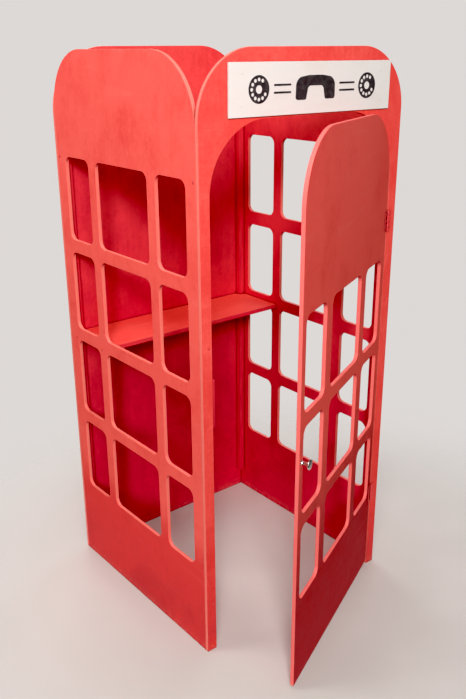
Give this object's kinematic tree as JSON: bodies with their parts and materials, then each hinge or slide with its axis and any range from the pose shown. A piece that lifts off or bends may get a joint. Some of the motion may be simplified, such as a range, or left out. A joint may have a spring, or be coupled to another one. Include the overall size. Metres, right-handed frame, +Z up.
{
  "type": "telephone booth",
  "caption": "Small painted plywood telephone booth with windowed sides, arched doorway, inner shelf, sign board over the doorway and a hinged windowed door.",
  "frame": {"origin": "on the floor, under the middle of the whole object's box with the door ajar as at rest", "axes": "+X to the booth's right seen from the doorway side, +Y from the doorway to the back panel, +Z up"},
  "size_m": [0.6028, 0.8395, 1.403],
  "materials": {
    "red_ply": "brush-painted plywood, matte red",
    "red_batten": "brush-painted softwood, matte red",
    "painted_screw": "steel screw painted over in red",
    "hinge_paint": "steel hinge painted over in red",
    "white_board": "thin hardboard, satin white paint",
    "white_pin": "small pin painted white",
    "bright_metal": "bright polished metal",
    "sign_ink": "matt black signwriting paint"
  },
  "bodies": {
    "booth": {"back_left_batten": "red_batten", "back_panel": "red_ply", "back_right_batten": "red_batten", "back_screw_left_high": "painted_screw", "back_screw_left_low": "painted_screw", "back_screw_right_high": "painted_screw", "back_screw_right_low": "painted_screw", "door_stop": "red_batten", "front_frame": "red_ply", "front_left_batten": "red_batten", "front_right_batten": "red_batten", "front_screw_left_high": "painted_screw", "front_screw_left_low": "painted_screw", "front_screw_right_high": "painted_screw", "front_screw_right_low": "painted_screw", "left_screw_back_high": "painted_screw", "left_screw_back_low": "painted_screw", "left_screw_front_high": "painted_screw", "left_screw_front_low": "painted_screw", "left_side_panel": "red_ply", "lower_hinge_frame_leaf": "hinge_paint", "lower_hinge_frame_screw_1": "hinge_paint", "lower_hinge_frame_screw_2": "hinge_paint", "lower_hinge_frame_screw_3": "hinge_paint", "lower_hinge_pin": "hinge_paint", "right_screw_back_high": "painted_screw", "right_screw_back_low": "painted_screw", "right_screw_front_high": "painted_screw", "right_screw_front_low": "painted_screw", "right_side_panel": "red_ply", "shelf": "red_ply", "shelf_screw_left_back": "painted_screw", "shelf_screw_left_front": "painted_screw", "shelf_screw_right_back": "painted_screw", "shelf_screw_right_front": "painted_screw", "sign_board": "white_board", "sign_pin_left_high": "white_pin", "sign_pin_left_low": "white_pin", "sign_pin_right_high": "white_pin", "sign_pin_right_low": "white_pin", "stop_nail_high": "painted_screw", "stop_nail_low": "painted_screw", "upper_hinge_frame_leaf": "hinge_paint", "upper_hinge_frame_screw_1": "hinge_paint", "upper_hinge_frame_screw_2": "hinge_paint", "upper_hinge_frame_screw_3": "hinge_paint", "upper_hinge_pin": "hinge_paint"},
    "door": {"door_panel": "red_ply", "knob": "bright_metal", "knob_screw": "bright_metal", "lower_hinge_door_leaf": "hinge_paint", "lower_hinge_door_screw_1": "hinge_paint", "lower_hinge_door_screw_2": "hinge_paint", "lower_hinge_door_screw_3": "hinge_paint", "upper_hinge_door_leaf": "hinge_paint", "upper_hinge_door_screw_1": "hinge_paint", "upper_hinge_door_screw_2": "hinge_paint", "upper_hinge_door_screw_3": "hinge_paint"}
  },
  "joints": [
    {"name": "door_hinge", "type": "hinge", "parent": "booth", "child": "door", "pos_m": [0.2715, -0.17849, 0.6], "axis": [0, 0, 1], "range_deg": [-24.5, 145.5]}
  ]
}
